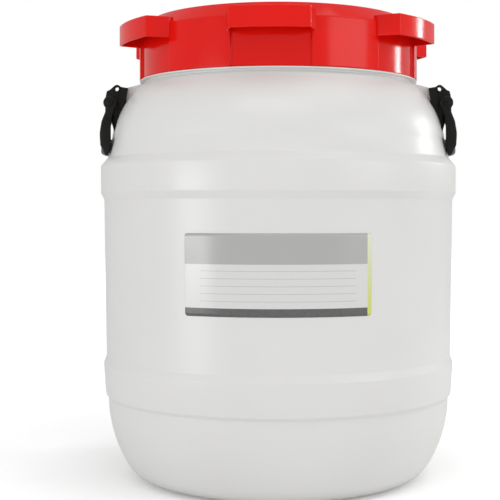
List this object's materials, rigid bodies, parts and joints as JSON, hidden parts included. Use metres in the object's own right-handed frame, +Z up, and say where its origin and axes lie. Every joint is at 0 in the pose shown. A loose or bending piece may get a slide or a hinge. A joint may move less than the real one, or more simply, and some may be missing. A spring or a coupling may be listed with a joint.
{
  "type": "open head drum",
  "caption": "White round plastic drum with two raised bands, a red screw lid with grip lugs, black swinging side handles and a blank label.",
  "frame": {"origin": "on the floor under the centre of the drum's foot", "axes": "+Z up along the drum's axis, -Y towards the label, handles at -X and +X"},
  "size_m": [0.4049, 0.405, 0.5154],
  "materials": {
    "shell": "satin natural white polyethylene",
    "lid": "smooth red polyethylene",
    "gasket": "soft black seal",
    "label": "pale grey printed film",
    "hardware": "satin black polyamide",
    "pins": "dull steel"
  },
  "bodies": {
    "drum": {"drum_body": "shell", "label": "label", "left_bracket": "hardware", "right_bracket": "hardware", "left_front_pin": "pins", "left_rear_pin": "pins", "right_front_pin": "pins", "right_rear_pin": "pins"},
    "gasket": {"lid_gasket": "gasket"},
    "lid": {"lid": "lid"},
    "left_handle": {"left_handle": "hardware"},
    "right_handle": {"right_handle": "hardware"}
  },
  "joints": [
    {"name": "lid_rise", "type": "slide", "parent": "drum", "child": "gasket", "axis": [0, 0, 1], "range_m": [0, 0.0541]},
    {"name": "lid_screw", "type": "hinge", "parent": "gasket", "child": "lid", "pos_m": [0, 0, 0.48], "axis": [0, 0, 1], "range_deg": [0, 1620]},
    {"name": "left_handle_swing", "type": "hinge", "parent": "drum", "child": "left_handle", "pos_m": [-0.1855, 0, 0.4197], "axis": [0, 1, 0], "range_deg": [0, 150]},
    {"name": "right_handle_swing", "type": "hinge", "parent": "drum", "child": "right_handle", "pos_m": [0.1855, 0, 0.4197], "axis": [0, -1, 0], "range_deg": [0, 150]}
  ],
  "couplings": [
    {"joint": "lid_rise", "follows": "lid_screw", "m_per_rad": 0.0019099}
  ]
}
